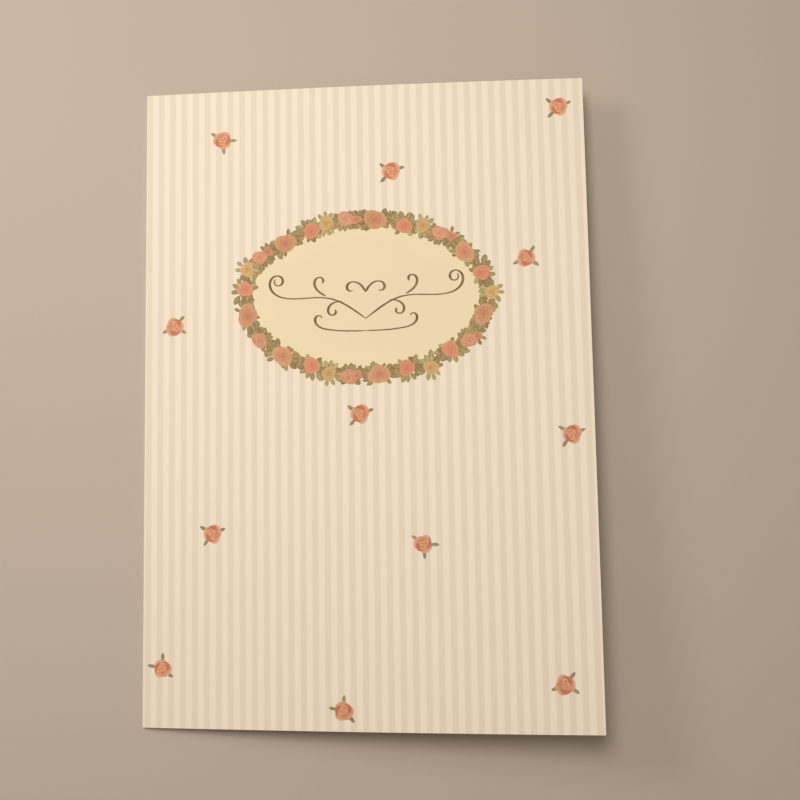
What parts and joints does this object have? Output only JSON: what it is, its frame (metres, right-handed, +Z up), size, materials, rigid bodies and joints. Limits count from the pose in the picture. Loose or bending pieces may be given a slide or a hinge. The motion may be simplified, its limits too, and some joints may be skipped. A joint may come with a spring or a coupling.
{
  "type": "folded invitation card",
  "caption": "Single-fold wedding invitation card lying on its back leaf, its front leaf sprung open a little, printed with fine stripes, scattered roses and an oval rose garland.",
  "frame": {"origin": "centre of the bounding box's underside, on the plane that the back leaf lies on", "axes": "+X from the fold towards the free edges, +Y towards the top of the printed face, +Z up from the back leaf to the front leaf"},
  "size_m": [0.105, 0.15, 0.0151],
  "materials": {
    "card_stock": "uncoated cream card, matt",
    "rose_ink": "coral and pink offset ink on card, matt",
    "leaf_ink": "olive green offset ink on card, matt",
    "pen_ink": "dark olive brown offset ink on card, matt"
  },
  "bodies": {
    "root": {"folded_card": "card_stock"}
  },
  "joints": []
}
